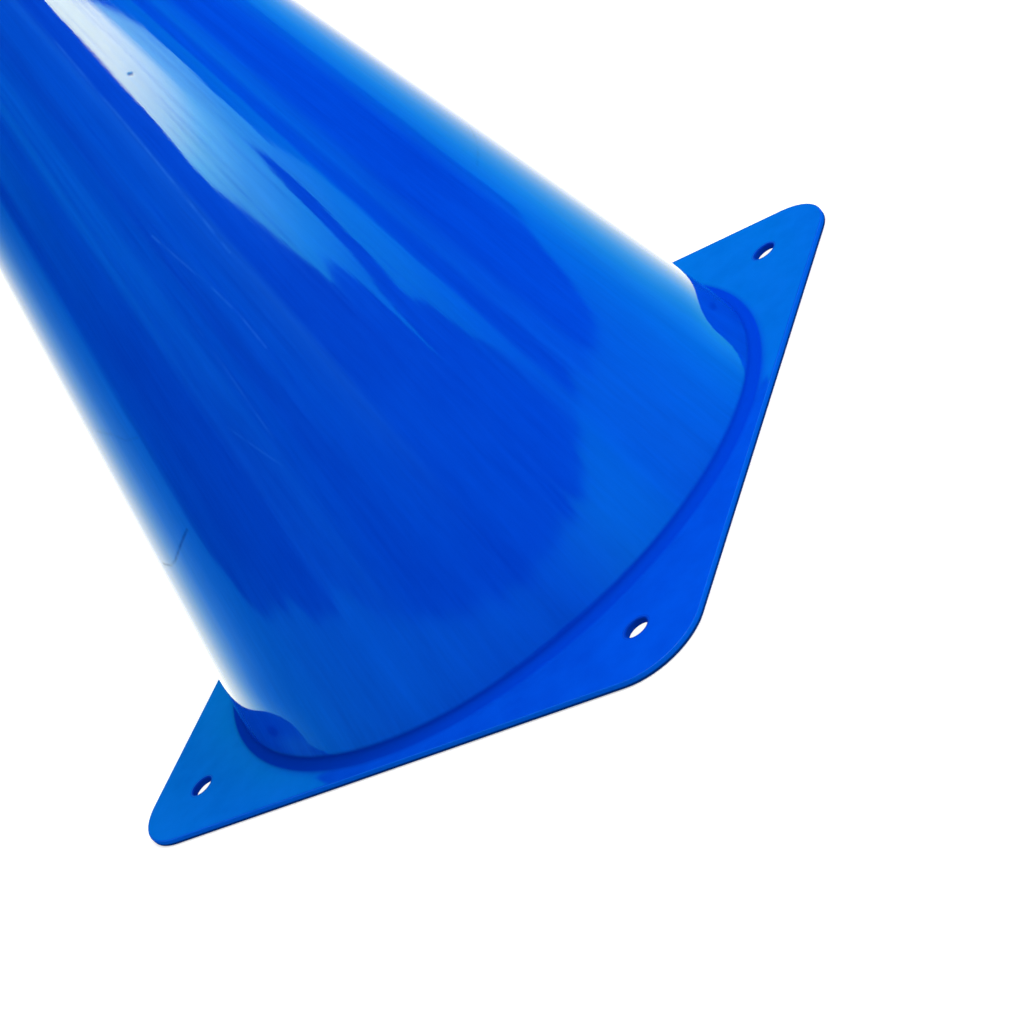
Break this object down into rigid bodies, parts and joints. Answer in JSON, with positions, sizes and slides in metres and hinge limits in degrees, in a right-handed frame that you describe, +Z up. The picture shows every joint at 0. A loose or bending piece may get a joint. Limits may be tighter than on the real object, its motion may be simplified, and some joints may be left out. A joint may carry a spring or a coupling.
{
  "type": "training cone",
  "caption": "Small glossy plastic training cone: a thin hollow taper with an open, thickened mouth on a thin square base with rounded corners and peg holes.",
  "frame": {"origin": "on the ground, under the cone's axis, at the centre of the square base's underside", "axes": "+Z up along the cone's axis; +X and +Y square to the sides of the base"},
  "size_m": [0.14, 0.14, 0.18],
  "materials": {
    "blue_plastic": "glossy injection-moulded royal blue, lightly scuffed"
  },
  "bodies": {
    "root": {"base_flange": "blue_plastic", "cone_wall": "blue_plastic", "top_collar": "blue_plastic"}
  },
  "joints": []
}
